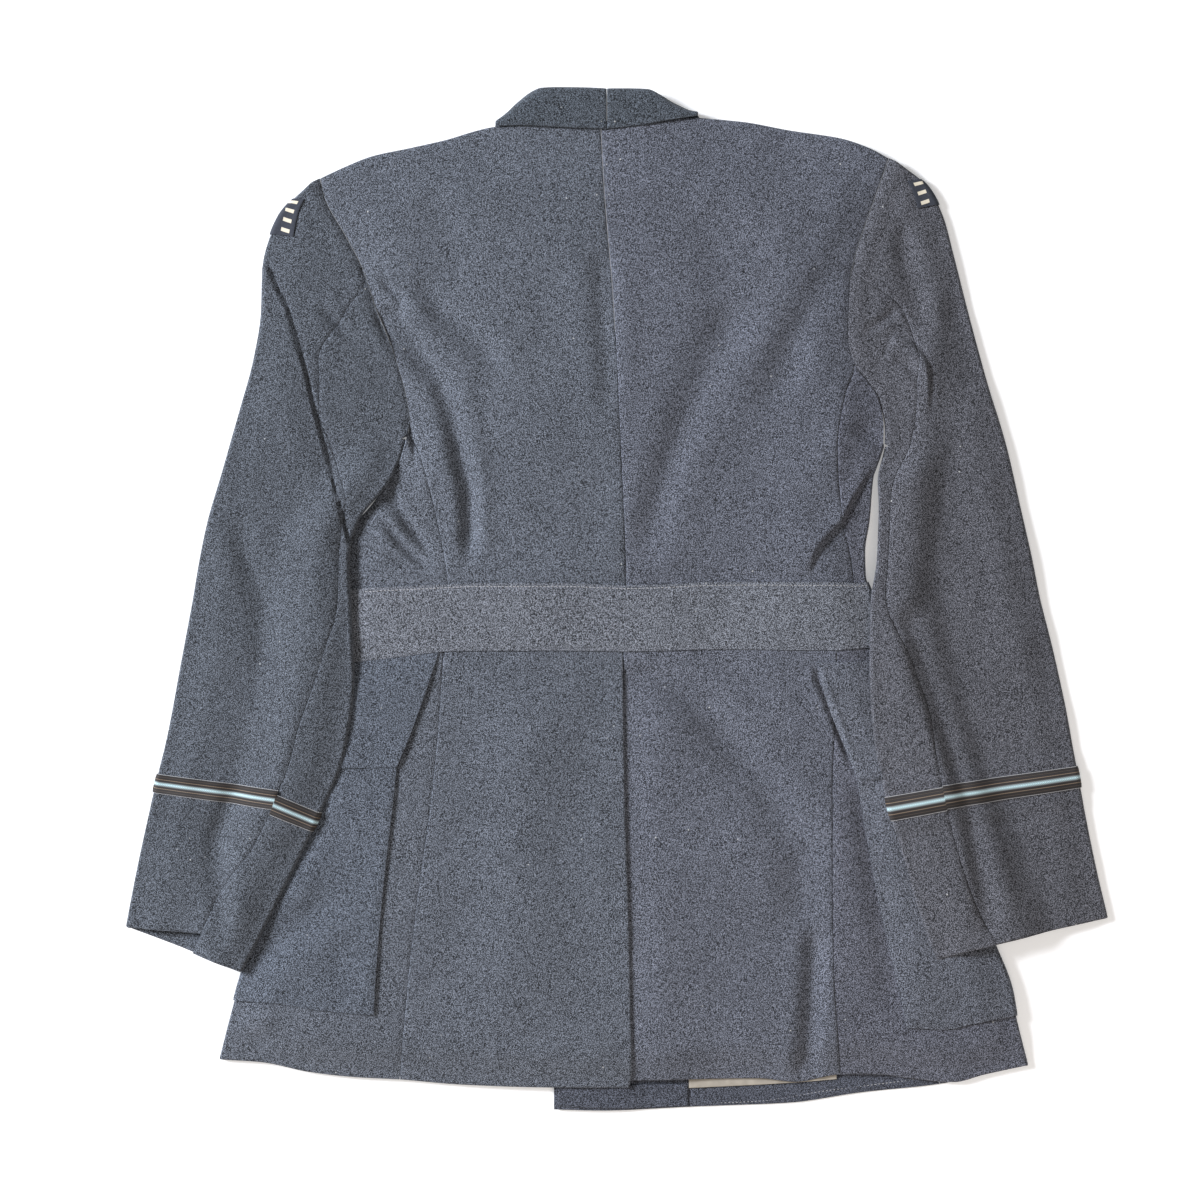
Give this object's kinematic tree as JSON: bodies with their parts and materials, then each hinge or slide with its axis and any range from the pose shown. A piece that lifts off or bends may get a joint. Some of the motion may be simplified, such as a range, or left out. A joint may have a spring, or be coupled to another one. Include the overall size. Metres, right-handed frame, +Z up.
{
  "type": "uniform tunic laid flat",
  "caption": "Belted service-dress tunic in wool barathea, laid flat face down with its sleeves beside it.",
  "frame": {"origin": "on the table under the middle of the laid garment's box", "axes": "+X towards the wearer's right, +Y towards the neck, +Z up from the table"},
  "size_m": [0.778, 0.8097, 0.0189],
  "materials": {
    "barathea": "blue-grey wool barathea, matt with a soft nap",
    "rank_lace": "dark woven braid with a pale blue centre stripe",
    "patch_cloth": "dark felted wool, bare of lettering",
    "lining": "smooth beige lining",
    "brass": "polished"
  },
  "bodies": {
    "root": {"back_left": "barathea", "back_right": "barathea", "side_left": "barathea", "side_right": "barathea", "front_left": "barathea", "front_right": "barathea", "lapel_left": "barathea", "lapel_right": "barathea", "collar_left": "barathea", "collar_right": "barathea", "sleeve_left_top": "barathea", "sleeve_left_under": "barathea", "sleeve_right_top": "barathea", "sleeve_right_under": "barathea", "belt": "barathea", "pocket_left": "barathea", "pocket_right": "barathea", "flap_left": "barathea", "flap_right": "barathea", "facing_right": "barathea", "lace_left": "rank_lace", "lace_right": "rank_lace", "patch_left": "patch_cloth", "patch_right": "patch_cloth", "lining_right": "lining", "buckle": "brass", "button_1": "brass", "button_2": "brass", "button_3": "brass", "button_4": "brass"}
  },
  "joints": []
}
